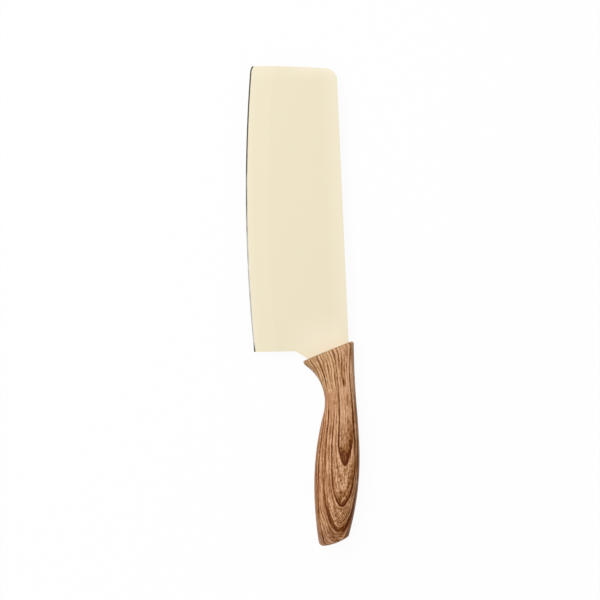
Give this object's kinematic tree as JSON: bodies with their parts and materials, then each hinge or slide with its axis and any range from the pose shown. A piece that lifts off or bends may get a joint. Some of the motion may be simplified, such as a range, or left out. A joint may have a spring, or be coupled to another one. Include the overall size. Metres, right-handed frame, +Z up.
{
  "type": "kitchen cleaver",
  "caption": "Kitchen cleaver: wide coated blade with a gently curved, sharpened edge, and a moulded wood-look grip with a flared front, a waist and a full belly.",
  "frame": {"origin": "centre of the bounding box on the surface that the cleaver lies on, with the blade flat", "axes": "+X towards the tip of the blade, +Y towards the cutting edge, +Z up out of the blade's left side"},
  "size_m": [0.3007, 0.0646, 0.021],
  "materials": {
    "steel": "ground",
    "coating": "satin release coating, cream",
    "adhesive": "cured, hidden",
    "grip": "printed wood film under satin lacquer"
  },
  "bodies": {
    "root": {"blade": "steel", "blade_coating": "coating", "tang_adhesive": "adhesive", "left_handle_shell": "grip", "right_handle_shell": "grip"}
  },
  "joints": []
}
